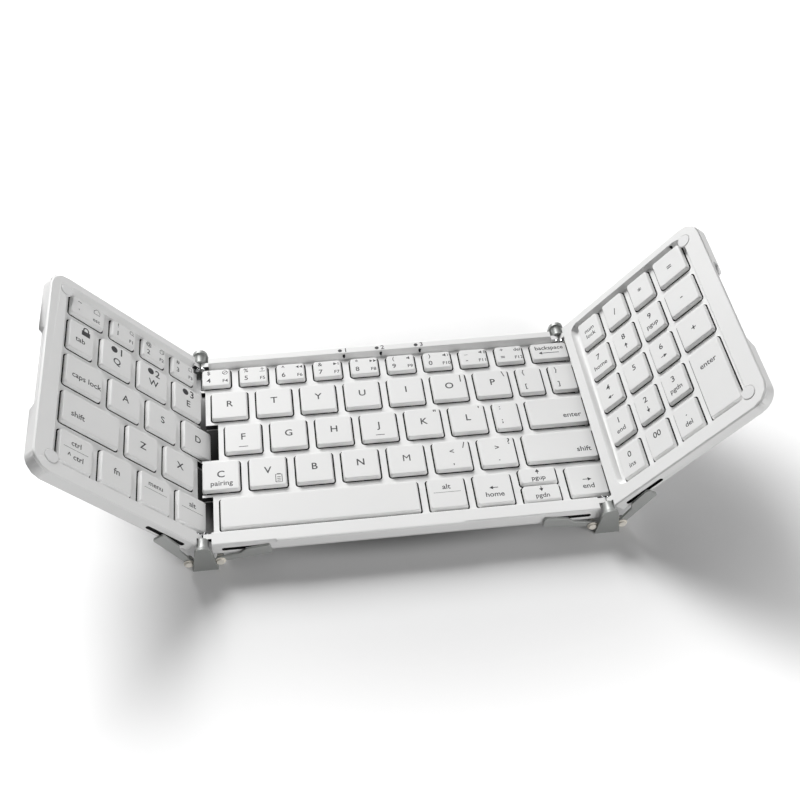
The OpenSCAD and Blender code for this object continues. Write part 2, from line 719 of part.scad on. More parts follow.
// Hinge bracket: bullet-shaped plate, boss for both pins, foot and the studs for the bushes
module bracket_face() {
    foot = stand_h;
    tangent = asin((foot_w / 2 - arch_r) / foot);
    circle(arch_r);
    polygon([[-arch_r * cos(tangent), arch_r * sin(tangent)], [arch_r * cos(tangent), arch_r * sin(tangent)],
        [foot_w / 2, -foot], [-foot_w / 2, -foot]]);
}
module ear_face(side) {
    translate([side * bush_x, -bush_drop]) circle(ear_r);
    polygon([[side * (foot_w / 2 - 1.55), -stand_h], [side * foot_w / 2, -stand_h],
        [side * (bush_x + 1.1), -bush_drop - 0.6], [side * (bush_x - 0.6), 1.1 - bush_drop]]);
}
module bracket(mid) translate([mid, 0, pin_z]) {
    difference() {
        union() {
            translate([0, plate_y1, 0]) rotate([90, 0, 0]) linear_extrude(plate_t) bracket_face();
            translate([0, y_front, 0]) rotate([90, 0, 0])
                cylinder(r1 = boss_r, r2 = boss_r + boss_flare, h = y_front - plate_y1 + eps);
            along_y(y_front - eps, boss_end, boss_r);
            translate([-foot_w / 2, plate_y0, -stand_h]) cube([foot_w, foot_d, foot_t]);
        }
        for (s = [-1, 1]) {
            translate([s * pin_half, 0, 0]) along_y(plate_y0 + 0.5, boss_end + 1, pin_r + press);
            translate([s * bush_x, 0, -bush_drop]) {
                along_y(plate_y0 - 1, plate_y1 + eps, button_r + bush_clear);
                along_y(plate_y1, ear_y0, bush_r + bush_clear);
            }
        }
    }
    for (s = [-1, 1]) {
        translate([0, ear_y1, 0]) rotate([90, 0, 0]) linear_extrude(ear_y1 - ear_y0) ear_face(s);
        translate([s * bush_x, 0, -bush_drop]) along_y(plate_y1 + 0.1, ear_y0 + eps, stud_r);
    }
}
module hinge_brackets(mid) stand() color(metal) both_ends() bracket(mid);
module left_hinge_brackets() hinge_brackets(left_mid);
module right_hinge_brackets() hinge_brackets(right_mid);

module hinge_pins(mid) stand() color(bright) both_ends() for (s = [-1, 1])
    translate([mid + s * pin_half, 0, pin_z]) {
        along_y(plate_y0 + 0.5, pin_head_y, pin_r);
        along_y(pin_head_y - pin_head_t, pin_head_y, knuckle_r);
    }
module left_hinge_pins() hinge_pins(left_mid);
module right_hinge_pins() hinge_pins(right_mid);

// Nylon bush: button and head in front, sleeve in the brace's eye, collar behind
module bush() difference() {
    union() {
        along_y(plate_y1 - button_t, plate_y1 + eps, button_r);
        along_y(plate_y1, plate_y1 + head_t, bush_r);
        along_y(plate_y1 + head_t - eps, brace_y1 + 0.05, sleeve_r);
        along_y(brace_y1 + 0.05 - eps, ear_y0, collar_r);
    }
    along_y(plate_y1 + 0.1, 0, stud_r + press);
}
module brace_bushes(mid) stand() color(nylon) both_ends() for (s = [-1, 1])
    translate([mid + s * bush_x, 0, pin_z - bush_drop]) bush();
module left_brace_bushes() brace_bushes(left_mid);
module right_brace_bushes() brace_bushes(right_mid);

// Brace: an eye on the bush, a slim arm and a deeper outer end, drawn along +X from the bush
eye_r = 1.75;
module brace() {
    low = -0.9;
    slim = 2.1;
    deep = 4;
    deep_x = brace_l - 9;
    ease = 0.9;
    translate([0, brace_y1, 0]) rotate([90, 0, 0]) linear_extrude(brace_t) difference() {
        union() {
            circle(eye_r);
            offset(r = ease, $fn = 24) offset(delta = -ease) polygon([[-0.8, low], [brace_l, low],
                [brace_l, deep], [deep_x, deep], [deep_x - 2.4, slim], [-0.8, slim - 0.5]]);
        }
        circle(sleeve_r + running);
    }
}
module braces(mid, side, angle) stand() color(metal) both_ends()
    translate([mid + side * bush_x, 0, pin_z - bush_drop]) mirror([side < 0 ? 1 : 0, 0, 0])
        rotate([0, -angle, 0]) brace();
module left_centre_braces() braces(left_mid, 1, centre_brace_a);
module left_wing_braces() braces(left_mid, -1, wing_brace_a);
module right_centre_braces() braces(right_mid, -1, centre_brace_a);
module right_wing_braces() braces(right_mid, 1, wing_brace_a);

module backquote_key() fold_left() caps(backquote);
module left_number_keys() fold_left() caps(left_numbers);
module tab_key() fold_left() caps(tab_key_box);
module left_upper_letter_keys() fold_left() caps(left_upper);
module caps_lock_key() fold_left() caps(caps_lock);
module left_home_letter_keys() fold_left() caps(left_home);
module left_shift_key() fold_left() caps(left_shift);
module left_lower_letter_keys() fold_left() caps(left_lower);
module left_modifier_keys() fold_left() caps(left_modifiers);
module centre_number_keys() stand() caps(centre_numbers);
module backspace_key() stand() caps(backspace);
module centre_upper_letter_keys() stand() caps(centre_upper);
module square_bracket_keys() stand() caps(square_brackets);
module centre_home_letter_keys() stand() caps(centre_home);
module semicolon_key() stand() caps(semicolon);
module enter_key() stand() caps(enter);
module centre_lower_letter_keys() stand() caps(centre_lower);
module right_shift_key() stand() caps(right_shift);
module space_key() stand() caps(space);
module right_alt_key() stand() caps(right_alt);
module side_arrow_keys() stand() caps(arrows);
module page_up_key() stand() caps(page_up);
module page_down_key() stand() caps(page_down);
module pad_top_keys() fold_right() caps(pad_top);
module pad_digit_keys() fold_right() caps(pad_digits);
module pad_zero_keys() fold_right() caps(pad_zero);
module pad_operator_keys() fold_right() caps(pad_operators);
module pad_enter_key() fold_right() caps(pad_enter);

centre_frame();
centre_bottom_cover();
centre_support_plate();
centre_dome_sheet();
centre_status_lights();
centre_cover_screws();
left_hinge_brackets();
left_hinge_pins();
left_brace_bushes();
left_centre_braces();
left_wing_braces();
right_hinge_brackets();
right_hinge_pins();
right_brace_bushes();
right_centre_braces();
right_wing_braces();
left_frame();
left_bottom_cover();
left_support_plate();
left_dome_sheet();
left_corner_bumpers();
left_cover_screws();
battery_cell();
right_frame();
right_bottom_cover();
right_support_plate();
right_dome_sheet();
right_corner_bumpers();
right_cover_screws();
right_status_light();
circuit_board();
charging_socket();
backquote_key();
left_number_keys();
tab_key();
left_upper_letter_keys();
caps_lock_key();
left_home_letter_keys();
left_shift_key();
left_lower_letter_keys();
left_modifier_keys();
centre_number_keys();
backspace_key();
centre_upper_letter_keys();
square_bracket_keys();
centre_home_letter_keys();
semicolon_key();
enter_key();
centre_lower_letter_keys();
right_shift_key();
space_key();
right_alt_key();
side_arrow_keys();
page_up_key();
page_down_key();
pad_top_keys();
pad_digit_keys();
pad_zero_keys();
pad_operator_keys();
pad_enter_key();
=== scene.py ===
import json
import math

import bmesh
import bpy
import numpy as np
from mathutils import Matrix, Vector

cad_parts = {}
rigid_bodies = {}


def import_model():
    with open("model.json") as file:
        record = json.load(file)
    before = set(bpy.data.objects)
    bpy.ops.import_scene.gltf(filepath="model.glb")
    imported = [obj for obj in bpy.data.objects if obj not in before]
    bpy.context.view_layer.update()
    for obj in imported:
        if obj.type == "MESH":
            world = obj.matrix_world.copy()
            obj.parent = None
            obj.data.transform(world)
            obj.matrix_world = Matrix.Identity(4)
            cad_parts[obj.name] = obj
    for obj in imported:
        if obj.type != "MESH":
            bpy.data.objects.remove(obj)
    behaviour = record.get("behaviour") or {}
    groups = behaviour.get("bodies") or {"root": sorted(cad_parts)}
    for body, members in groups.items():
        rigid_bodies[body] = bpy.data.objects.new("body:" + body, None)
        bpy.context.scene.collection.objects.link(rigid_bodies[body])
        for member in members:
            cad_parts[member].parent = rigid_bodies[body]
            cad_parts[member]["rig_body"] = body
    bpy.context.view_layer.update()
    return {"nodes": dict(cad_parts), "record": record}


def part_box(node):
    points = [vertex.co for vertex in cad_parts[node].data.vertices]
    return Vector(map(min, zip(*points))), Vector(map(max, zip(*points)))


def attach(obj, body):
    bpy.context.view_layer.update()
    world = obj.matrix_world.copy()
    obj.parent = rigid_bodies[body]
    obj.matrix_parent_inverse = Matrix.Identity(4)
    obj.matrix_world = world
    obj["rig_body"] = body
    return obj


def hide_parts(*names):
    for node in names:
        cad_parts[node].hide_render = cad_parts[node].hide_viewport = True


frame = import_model()
nodes = frame["nodes"]
mm = 0.001

# Where the three panels lie. Every size below is in millimetres on a flat panel, with the
# key deck at z = 0, and a panel's matrix carries it to where the folded panel stands.
panel = {
    "leftMid": -73.0,
    "rightMid": 79.1,
    "pinHalf": 1.05,
    "pinHeight": 1.5,
    "leftFold": 49.0,
    "rightFold": 50.5,
    "centreRightEdge": 82.05,
    "middleY": 40.5,
    "frameLow": -2.5,
}


def panelMatrix(pinX, fold):
    pin = Vector((pinX, 0, panel["pinHeight"]))
    turn = Matrix.Translation(pin) @ Matrix.Rotation(math.radians(fold), 4, "Y") @ Matrix.Translation(-pin)
    low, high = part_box("centre_frame")
    deck = Vector((high.x / mm - panel["centreRightEdge"], -panel["middleY"], low.z / mm - panel["frameLow"]))
    return Matrix.Scale(mm, 4) @ Matrix.Translation(deck) @ turn


centrePlace = panelMatrix(0, 0)
leftPlace = panelMatrix(panel["leftMid"] - panel["pinHalf"], panel["leftFold"])
rightPlace = panelMatrix(panel["rightMid"] + panel["pinHalf"], -panel["rightFold"])
print("panels placed")

# The photograph's camera, in millimetres and degrees on the flat centre deck
camera = {
    "place": (-35.35, -256.87, 358.60),
    "turnY": 6.8312,
    "turnX": -41.0739,
    "turnZ": 9.2667,
    "lens": 52.72,
    "sensor": 36.0,
}


def makeCamera():
    data = bpy.data.cameras.new("camera")
    data.lens = camera["lens"]
    data.sensor_width = camera["sensor"]
    data.clip_start = 0.01
    data.clip_end = 20
    turn = (
        Matrix.Rotation(math.radians(-camera["turnY"]), 4, "Y")
        @ Matrix.Rotation(math.radians(-camera["turnX"]), 4, "X")
        @ Matrix.Rotation(math.radians(-camera["turnZ"]), 4, "Z")
    )
    eye = bpy.data.objects.new("camera", data)
    eye.matrix_world = Matrix.Translation(centrePlace @ Vector(camera["place"])) @ turn
    bpy.context.scene.collection.objects.link(eye)
    bpy.context.scene.camera = eye


makeCamera()
print("camera made")

# Finishes: colour, how rough, how metallic, then the size and depth of the surface's grain
finishes = {
    "framePlastic": {"colour": (0.84, 0.84, 0.835), "rough": 0.50, "metal": 0.0, "grain": 900, "depth": 0.010},
    "coverPlastic": {"colour": (0.70, 0.70, 0.70), "rough": 0.50, "metal": 0.0, "grain": 700, "depth": 0.020},
    "keyPlastic": {"colour": (0.82, 0.82, 0.815), "rough": 0.54, "metal": 0.0, "grain": 1300, "depth": 0.012},
    "legendInk": {"colour": (0.055, 0.055, 0.058), "rough": 0.55, "metal": 0.0, "grain": 900, "depth": 0.0},
    "bracketZinc": {"colour": (0.37, 0.38, 0.37), "rough": 0.48, "metal": 0.35, "grain": 500, "depth": 0.020},
    "braceSteel": {"colour": (0.47, 0.48, 0.47), "rough": 0.42, "metal": 0.40, "grain": 420, "depth": 0.016},
    "pinChrome": {"colour": (0.80, 0.81, 0.82), "rough": 0.12, "metal": 1.0, "grain": 300, "depth": 0.004},
    "bushNylon": {"colour": (0.88, 0.84, 0.76), "rough": 0.45, "metal": 0.0, "grain": 500, "depth": 0.010},
    "sheetSteel": {"colour": (0.56, 0.57, 0.58), "rough": 0.40, "metal": 1.0, "grain": 260, "depth": 0.010},
    "socketSteel": {"colour": (0.52, 0.53, 0.54), "rough": 0.28, "metal": 1.0, "grain": 400, "depth": 0.006},
    # near black: the dark dome rubber, and also painted shade on the wells' walls, the seams' sides and the
    # brace grooves
    "domeRubber": {"colour": (0.012, 0.012, 0.013), "rough": 0.75, "metal": 0.0, "grain": 600, "depth": 0.030},
    "bumperRubber": {"colour": (0.80, 0.80, 0.80), "rough": 0.62, "metal": 0.0, "grain": 800, "depth": 0.015},
    "boardGreen": {"colour": (0.03, 0.12, 0.07), "rough": 0.35, "metal": 0.0, "grain": 500, "depth": 0.010},
    "cellFoil": {"colour": (0.42, 0.43, 0.44), "rough": 0.35, "metal": 0.7, "grain": 200, "depth": 0.030},
    "lensPlastic": {"colour": (0.02, 0.02, 0.024), "rough": 0.15, "metal": 0.0, "grain": 500, "depth": 0.0},
    "screwSteel": {"colour": (0.50, 0.51, 0.52), "rough": 0.25, "metal": 1.0, "grain": 500, "depth": 0.008},
}


# How strongly the plastics shine at a low angle (half is the shader's own value), the size and
# detail of the broad noise, how far it moves roughness and colour, and the grain's strength
surface = {
    "matteShine": 0.3,
    "broadScale": 38,
    "broadDetail": 3,
    "smoother": 0.04,
    "rougher": 0.05,
    "darker": 0.975,
    "lighter": 1.02,
    "grainDetail": 2,
    "grainStrength": 0.6,
}


# Each finish is one shader with two noises on Object coordinates: a fine one is the grain that
# the bump follows, and a broad one moves the roughness and colour by a few hundredths
def finish(name):
    made = bpy.data.materials.get(name)
    if made:
        return made
    look = finishes[name]
    made = bpy.data.materials.new(name)
    made.use_nodes = True
    tree = made.node_tree
    shader = tree.nodes["Principled BSDF"]
    shader.inputs["Metallic"].default_value = look["metal"]
    if not look["metal"]:
        shader.inputs["Specular IOR Level"].default_value = surface["matteShine"]
    place = tree.nodes.new("ShaderNodeTexCoord")
    broad = tree.nodes.new("ShaderNodeTexNoise")
    broad.inputs["Scale"].default_value = surface["broadScale"]
    broad.inputs["Detail"].default_value = surface["broadDetail"]
    tree.links.new(place.outputs["Object"], broad.inputs["Vector"])
    tone = tree.nodes.new("ShaderNodeMapRange")
    tone.inputs["To Min"].default_value = look["rough"] - surface["smoother"]
    tone.inputs["To Max"].default_value = look["rough"] + surface["rougher"]
    tree.links.new(broad.outputs["Fac"], tone.inputs["Value"])
    tree.links.new(tone.outputs["Result"], shader.inputs["Roughness"])
    shade = tree.nodes.new("ShaderNodeMix")
    shade.data_type = "RGBA"
    shade.inputs["A"].default_value = (*[c * surface["darker"] for c in look["colour"]], 1)
    shade.inputs["B"].default_value = (*[min(1, c * surface["lighter"]) for c in look["colour"]], 1)
    tree.links.new(broad.outputs["Fac"], shade.inputs["Factor"])
    tree.links.new(shade.outputs["Result"], shader.inputs["Base Color"])
    if look["depth"]:
        grain = tree.nodes.new("ShaderNodeTexNoise")
        grain.inputs["Scale"].default_value = look["grain"]
        grain.inputs["Detail"].default_value = surface["grainDetail"]
        tree.links.new(place.outputs["Object"], grain.inputs["Vector"])
        bump = tree.nodes.new("ShaderNodeBump")
        bump.inputs["Strength"].default_value = surface["grainStrength"]
        bump.inputs["Distance"].default_value = look["depth"] * mm
        tree.links.new(grain.outputs["Fac"], bump.inputs["Height"])
        tree.links.new(bump.outputs["Normal"], shader.inputs["Normal"])
    return made


slotFinish = {
    "frame_plastic": "framePlastic",
    "cover_plastic": "coverPlastic",
    "key_plastic": "keyPlastic",
    "bracket_metal": "bracketZinc",
    "brace_metal": "braceSteel",
    "pin_metal": "pinChrome",
    "bush_nylon": "bushNylon",
    "steel_sheet": "sheetSteel",
    "socket_steel": "socketSteel",
    "dome_rubber": "domeRubber",
    "bumper_rubber": "bumperRubber",
    "board_green": "boardGreen",
    "cell_wrap": "cellFoil",
    "lens_plastic": "lensPlastic",
    "screw_steel": "screwSteel",
}
slotOf = {p["node"]: p["material_slot"] for p in frame["record"]["subparts"]}
for name, node in nodes.items():
    node.data.materials.clear()
    node.data.materials.append(finish(slotFinish[slotOf[name]]))
print("finishes set")


# Moulded and cast pieces: the node's own solid with its doubles merged, its flat faces joined
# and its edges rounded by a bevel of the given width in millimetres
soft = {
    "centre_frame": 0.22,
    "left_frame": 0.22,
    "right_frame": 0.22,
    "centre_bottom_cover": 0.20,
    "left_bottom_cover": 0.20,
    "right_bottom_cover": 0.20,
    "left_hinge_brackets": 0.22,
    "right_hinge_brackets": 0.22,
    "left_centre_braces": 0.18,
    "left_wing_braces": 0.18,
    "right_centre_braces": 0.18,
    "right_wing_braces": 0.18,
    "left_hinge_pins": 0.14,
    "right_hinge_pins": 0.14,
    "left_brace_bushes": 0.10,
    "right_brace_bushes": 0.10,
    "left_corner_bumpers": 0.15,
    "right_corner_bumpers": 0.15,
    "charging_socket": 0.05,
}
softSteps = 3
sharpAngle = math.radians(28)
mergeWithin = 0.002
flatAngle = math.radians(0.6)


def soften(name, width):
    shape = bmesh.new()
    shape.from_mesh(nodes[name].data)
    bmesh.ops.remove_doubles(shape, verts=shape.verts, dist=mergeWithin * mm)
    bmesh.ops.dissolve_limit(shape, angle_limit=flatAngle, verts=shape.verts, edges=shape.edges)
    mesh = bpy.data.meshes.new(name + "_soft")
    shape.to_mesh(mesh)
    shape.free()
    mesh.shade_smooth()
    mesh.set_sharp_from_angle(angle=sharpAngle)
    piece = bpy.data.objects.new(name + "_soft", mesh)
    bpy.context.scene.collection.objects.link(piece)
    mesh.materials.append(finish(slotFinish[slotOf[name]]))
    edge = piece.modifiers.new("edge", "BEVEL")
    edge.width = width * mm
    edge.segments = softSteps
    edge.limit_method = "ANGLE"
    edge.angle_limit = sharpAngle
    edge.use_clamp_overlap = True
    edge.harden_normals = True
    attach(piece, nodes[name]["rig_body"])
    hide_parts(name)
    return piece


# Painted shade: the panels' sides in the seams and their steps lie in deep shade, so those faces get the
# near-black finish. A side face of a frame counts as one when its middle on the flat panel is within the given
# span of x and between the rims
seam = {
    "centre_frame": ((-74.0, -62.0), (81.0, 83.0), centrePlace),
    "left_frame": ((-76.0, -62.0), None, leftPlace),
    "right_frame": (None, (81.0, 86.0), rightPlace),
}
seamRim = 6.0
sideSlope = 0.5


def paintSeamShade(piece, spans, place):
    mesh = piece.data
    flat = np.array(place.inverted())
    middles = np.empty(len(mesh.polygons) * 3)
    mesh.polygons.foreach_get("center", middles)
    normals = np.empty(len(mesh.polygons) * 3)
    mesh.polygons.foreach_get("normal", normals)
    x, y, z = (middles.reshape(-1, 3) @ flat[:3, :3].T + flat[:3, 3]).T
    up = normals.reshape(-1, 3) @ flat[2, :3] * mm
    inside = (y > -seamRim) & (y < 2 * panel["middleY"] + seamRim) & (np.abs(up) < sideSlope)
    near = np.zeros(len(x), bool)
    for span in spans:
        if span:
            near |= (x > span[0]) & (x < span[1])
    # painted shade: the chosen side faces take the near-black finish, though they are moulded plastic like the
    # rest
    mesh.materials.append(finish("domeRubber"))
    mesh.polygons.foreach_set("material_index", (inside & near).astype(np.int32))
    return int((inside & near).sum())


for name, width in soft.items():
    piece = soften(name, width)
    if name in seam:
        print(name, "shaded faces:", paintSeamShade(piece, seam[name][:2], seam[name][2]))
print("edges rounded")

# Key caps: the same rows and pitches as the wells they stand in
keys = {
    "pitch": 18.0,
    "rowPitch": 17.93,
    "depth": 15.5,
    "width": 15.6,
    "numPitch": 15.38,
    "numWidth": 12.84,
    "numDepth": 10.5,
    "padPitch": 13.9,
    "padRow": 17.1,
    "padWidth": 12.0,
    "padWide": 15.3,
    "web": 2.4,
    "gap": 0.6,
    "low": -0.05,
    "hollow": 0.45,
    "skin": 0.8,
    "skirt": 0.45,
    "top": 1.68,
    "corner": 0.85,
    "sideLean": 0.40,
    "frontLean": 0.40,
    "backLean": 0.22,
    "edgeRound": 0.26,
    "cornerShrink": 0.6,
    "cornerLeast": 0.45,
    "lidInset": 0.5,
    "cornerSteps": 7,
    "edgeSteps": 5,
}
rowY = [i * keys["rowPitch"] for i in range(5)]


def keyRow(x, step, width, count, y, depth):
    return [(x + i * step, x + i * step + width, y, y + depth) for i in range(count)]


def one(x0, x1, y, depth):
    return [(x0, x1, y, y + depth)]


pitch, web, edge = keys["pitch"], keys["web"], panel["centreRightEdge"]
numX, upperX, homeX, lowerX = -73.03, -69.29, -64.37, -73.5
leftEdge = -138.4
padX = 88.85
lastX = padX + 3 * keys["padPitch"]
padDepth = keys["padRow"] - 2.2
bracketX = upperX + 7 * pitch
bracketW = (edge - web - bracketX) / 2
spaceX, spaceEnd = -66.88, 9.4
arrowX = spaceEnd + web + pitch
pageY, pageDepth = -0.6, 8.65
D, W = keys["depth"], keys["width"]
nD, nW, nP = keys["numDepth"], keys["numWidth"], keys["numPitch"]
padRow, padPitch, padW = keys["padRow"], keys["padPitch"], keys["padWidth"]

centreKeys = {
    "centre_number_keys": keyRow(numX, nP, nW, 9, rowY[4], nD),
    "backspace_key": one(numX + 9 * nP, edge, rowY[4], nD),
    "centre_upper_letter_keys": keyRow(upperX, pitch, W, 7, rowY[3], D),
    "square_bracket_keys": keyRow(bracketX, bracketW + web, bracketW, 2, rowY[3], D),
    "centre_home_letter_keys": keyRow(homeX, pitch, W, 6, rowY[2], D),
    "semicolon_key": one(homeX + 6 * pitch, homeX + 6 * pitch + 11.3, rowY[2], D),
    "enter_key": one(homeX + 6 * pitch + 11.3 + web, edge, rowY[2], D),
    "centre_lower_letter_keys": keyRow(lowerX, pitch, W, 7, rowY[1], D),
    "right_shift_key": one(lowerX + 7 * pitch, edge, rowY[1], D),
    "space_key": one(spaceX, spaceEnd, rowY[0], D),
    "right_alt_key": one(spaceEnd + web, spaceEnd + web + W, rowY[0], D),
    "side_arrow_keys": one(arrowX, arrowX + W, 0, D) + one(arrowX + 2 * pitch + 0.2, edge, 0, D),
    "page_down_key": one(arrowX + pitch, arrowX + pitch + W, pageY, pageDepth),
    "page_up_key": one(arrowX + pitch, arrowX + pitch + W, pageY + pageDepth - 0.2, pageDepth),
}
leftKeys = {
    "left_number_keys": keyRow(numX - 3 * nP, nP, nW, 3, rowY[4], nD),
    "backquote_key": one(leftEdge, numX - 3 * nP - 2.5, rowY[4], nD),
    "left_upper_letter_keys": keyRow(upperX - 3 * pitch, pitch, W, 3, rowY[3], D),
    "tab_key": one(leftEdge, upperX - 3 * pitch - web, rowY[3], D),
    "left_home_letter_keys": keyRow(homeX - 3 * pitch, pitch, W, 3, rowY[2], D),
    "caps_lock_key": one(leftEdge, homeX - 3 * pitch - web, rowY[2], D),
    "left_lower_letter_keys": keyRow(lowerX - 2 * pitch, pitch, W, 2, rowY[1], D),
    "left_shift_key": one(leftEdge, lowerX - 2 * pitch - web, rowY[1], D),
    "left_modifier_keys": keyRow(leftEdge, 17.7, 15.3, 4, rowY[0], D),
}
rightKeys = {
    "pad_zero_keys": keyRow(padX, padPitch, padW, 3, 0, padDepth),
    "pad_digit_keys": [k for r in (1, 2, 3) for k in keyRow(padX, padPitch, padW, 3, r * padRow, padDepth)],
    "pad_top_keys": keyRow(padX, padPitch, padW, 3, 4 * padRow, padDepth),
    "pad_operator_keys": [
        (lastX, lastX + keys["padWide"], r * padRow, r * padRow + padDepth) for r in (2, 3, 4)
    ],
    "pad_enter_key": one(lastX, lastX + keys["padWide"], 0, padRow + padDepth),
}


# A cap is a rounded rectangle carried up a profile. Each level draws the outline in: evenly at
# the sides, more in front, less behind, then a quarter round leads over the edge to the top.
# The first two levels are the hollow under the cap.
def capGrid(x0, x1, y0, y1):
    k = keys
    turn = np.linspace(0, np.pi / 2, k["cornerSteps"])
    angle = np.concatenate([turn + q * np.pi / 2 for q in range(4)])
    alongX = np.repeat([1, -1, -1, 1], k["cornerSteps"])
    alongY = np.repeat([1, 1, -1, -1], k["cornerSteps"])
    bend = np.linspace(0, np.pi / 2, k["edgeSteps"])
    rise = k["top"] - k["edgeRound"] - k["skirt"]
    wall = 1 - k["edgeRound"] / (k["top"] - k["skirt"])
    start = [k["hollow"], k["low"], k["low"], k["skirt"]]
    z = np.concatenate([start, k["skirt"] + rise + k["edgeRound"] * np.sin(bend), [k["top"]]])
    draw = np.concatenate([[0, 0, 0, 0], np.full(bend.size, wall), [wall]])
    lid = [k["edgeRound"] + k["lidInset"]]
    over = np.concatenate([[k["skin"], k["skin"], 0, 0], k["edgeRound"] * (1 - np.cos(bend)), lid])
    left = x0 + k["gap"] + draw * k["sideLean"] + over
    right = x1 - k["gap"] - draw * k["sideLean"] - over
    front = y0 + k["gap"] + draw * k["frontLean"] + over
    back = y1 - k["gap"] - draw * k["backLean"] - over
    r = np.maximum(k["corner"] - over * k["cornerShrink"], k["cornerLeast"])
    midX, midY = (left + right) / 2, (front + back) / 2
    halfX, halfY = (right - left) / 2, (back - front) / 2
    px = midX[:, None] + alongX * (halfX - r)[:, None] + r[:, None] * np.cos(angle)
    py = midY[:, None] + alongY * (halfY - r)[:, None] + r[:, None] * np.sin(angle)
    pz = np.broadcast_to(z[:, None], px.shape)
    return np.stack([px, py, pz], -1)


# Grid rings joined into quads, with a flat lid on the last ring
def ringFaces(levels, around, start):
    i, j = np.meshgrid(np.arange(levels - 1), np.arange(around), indexing="ij")
    nextJ = (j + 1) % around
    quads = np.stack([i * around + j, i * around + nextJ, (i + 1) * around + nextJ, (i + 1) * around + j], -1)
    lid = (levels - 1) * around + np.arange(around)
    base = np.arange(around)[::-1]
    return [*(quads.reshape(-1, 4) + start).tolist(), (lid + start).tolist(), (base + start).tolist()]


# Legends: words are the plain built-in type, thickened a little, and signs are ribbons along
# short lines of points. M keeps its own weight, because its mesh fails when it is thickened.
# All are laid flat on the cap, a hundredth of a millimetre proud.
legend = {"bold": 0.012, "ribbon": 0.30, "proud": 0.012, "letter": 4.5, "small": 3.2, "tiny": 2.4}


def word(text, x, y, size, align="CENTER"):
    curve = bpy.data.curves.new("word", "FONT")
    curve.body = text
    curve.align_x = align
    curve.align_y = "CENTER"
    curve.offset = 0.0 if text == "M" else legend["bold"]
    curve.resolution_u = 3
    holder = bpy.data.objects.new("word", curve)
    bpy.context.scene.collection.objects.link(holder)
    bpy.context.view_layer.update()
    mesh = bpy.data.meshes.new_from_object(holder.evaluated_get(bpy.context.evaluated_depsgraph_get()))
    bpy.data.objects.remove(holder)
    bpy.data.curves.remove(curve)
    points = np.empty(len(mesh.vertices) * 3)
    mesh.vertices.foreach_get("co", points)
    points = points.reshape(-1, 3) * size + (x, y, 0)
    faces = [list(p.vertices) for p in mesh.polygons]
    bpy.data.meshes.remove(mesh)
    return points, faces


# A ribbon: every line of points is offset to both sides along its own normal, in one plane
def ribbon(lines, x, y, size=1.0, width=None):
    half = (width or legend["ribbon"]) / 2
    allPoints, allFaces, count = [], [], 0
    for line in lines:
        p = np.array(line, float) * size + (x, y)
        step = np.gradient(p, axis=0)
        step /= np.linalg.norm(step, axis=1)[:, None]
        side = np.stack([-step[:, 1], step[:, 0]], -1) * half
        both = np.concatenate([p - side, p + side])
        n = len(p)
        i = np.arange(n - 1)
        allFaces += (np.stack([i, i + 1, i + 1 + n, i + n], -1) + count).tolist()
        allPoints.append(np.column_stack([both, np.zeros(2 * n)]))
        count += 2 * n
    return np.concatenate(allPoints), allFaces


def patch(outline, x, y, size=1.0):
    p = np.array(outline, float) * size + (x, y)
    return np.column_stack([p, np.zeros(len(p))]), [list(range(len(p)))]


def arc(cx, cy, r, start, end, steps=14):
    a = np.radians(np.linspace(start, end, steps))
    return np.column_stack([cx + r * np.cos(a), cy + r * np.sin(a)]).tolist()


def arrow(x, y, angle, length=3.4):
    c, s = math.cos(math.radians(angle)), math.sin(math.radians(angle))
    turn = np.array([[c, s], [-s, c]])
    half = length / 2
    shaft = ribbon([(np.array([[-half, 0], [half - 0.9, 0]]) @ turn).tolist()], x, y, 1, 0.32)
    head = patch((np.array([[half - 1.4, -0.82], [half, 0], [half - 1.4, 0.82]]) @ turn).tolist(), x, y)
    return [shaft, head]


# The upper word of a modifier key and the thin rule under it
modifier = {"wordUp": 2.8, "ruleUp": 0.3, "ruleHalf": 5.2, "ruleWidth": 0.16}


def upperWord(text, x, y, size):
    m = modifier
    rule = ribbon([[(-m["ruleHalf"], 0), (m["ruleHalf"], 0)]], x, y + m["ruleUp"], 1, m["ruleWidth"])
    return [word(text, x, y + m["wordUp"], size), rule]


def middle(key):
    return (key[0] + key[1]) / 2, (key[2] + key[3]) / 2


marks = {}


def mark(node, *shapes):
    marks.setdefault(node, []).extend(shapes)


letterUp = 0.4


def letters(node, text, cells):
    for sign, key in zip(text, cells):
        x, y = middle(key)
        mark(node, word(sign, x, y + letterUp, legend["letter"]))


letters("centre_upper_letter_keys", "RTYUIOP", centreKeys["centre_upper_letter_keys"])
letters("centre_home_letter_keys", "FGHJKL", centreKeys["centre_home_letter_keys"])
letters("centre_lower_letter_keys", "CVBNM", centreKeys["centre_lower_letter_keys"])
letters("left_home_letter_keys", "ASD", leftKeys["left_home_letter_keys"])
letters("left_lower_letter_keys", "ZX", leftKeys["left_lower_letter_keys"])

